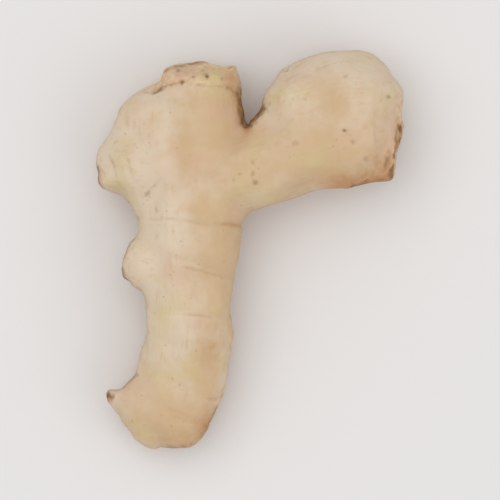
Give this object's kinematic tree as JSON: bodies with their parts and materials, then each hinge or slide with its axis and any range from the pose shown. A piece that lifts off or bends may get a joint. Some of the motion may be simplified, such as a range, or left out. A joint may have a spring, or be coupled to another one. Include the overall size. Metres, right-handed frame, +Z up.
{
  "type": "ginger root",
  "caption": "Fresh ginger root lying flat: a long knobbly stem with a cut crown, side buds and a second blunt lobe, in smooth pale skin with faint ring scars.",
  "frame": {"origin": "middle of the root's bounding box in plan, on the surface it lies on", "axes": "+Y along the stem from the foot to the cut crown, +X from the stem towards the second lobe, +Z up off the surface"},
  "size_m": [0.0688, 0.0894, 0.0266],
  "materials": {
    "ginger_skin": null
  },
  "bodies": {
    "root": {"ginger_root": "ginger_skin"}
  },
  "joints": []
}
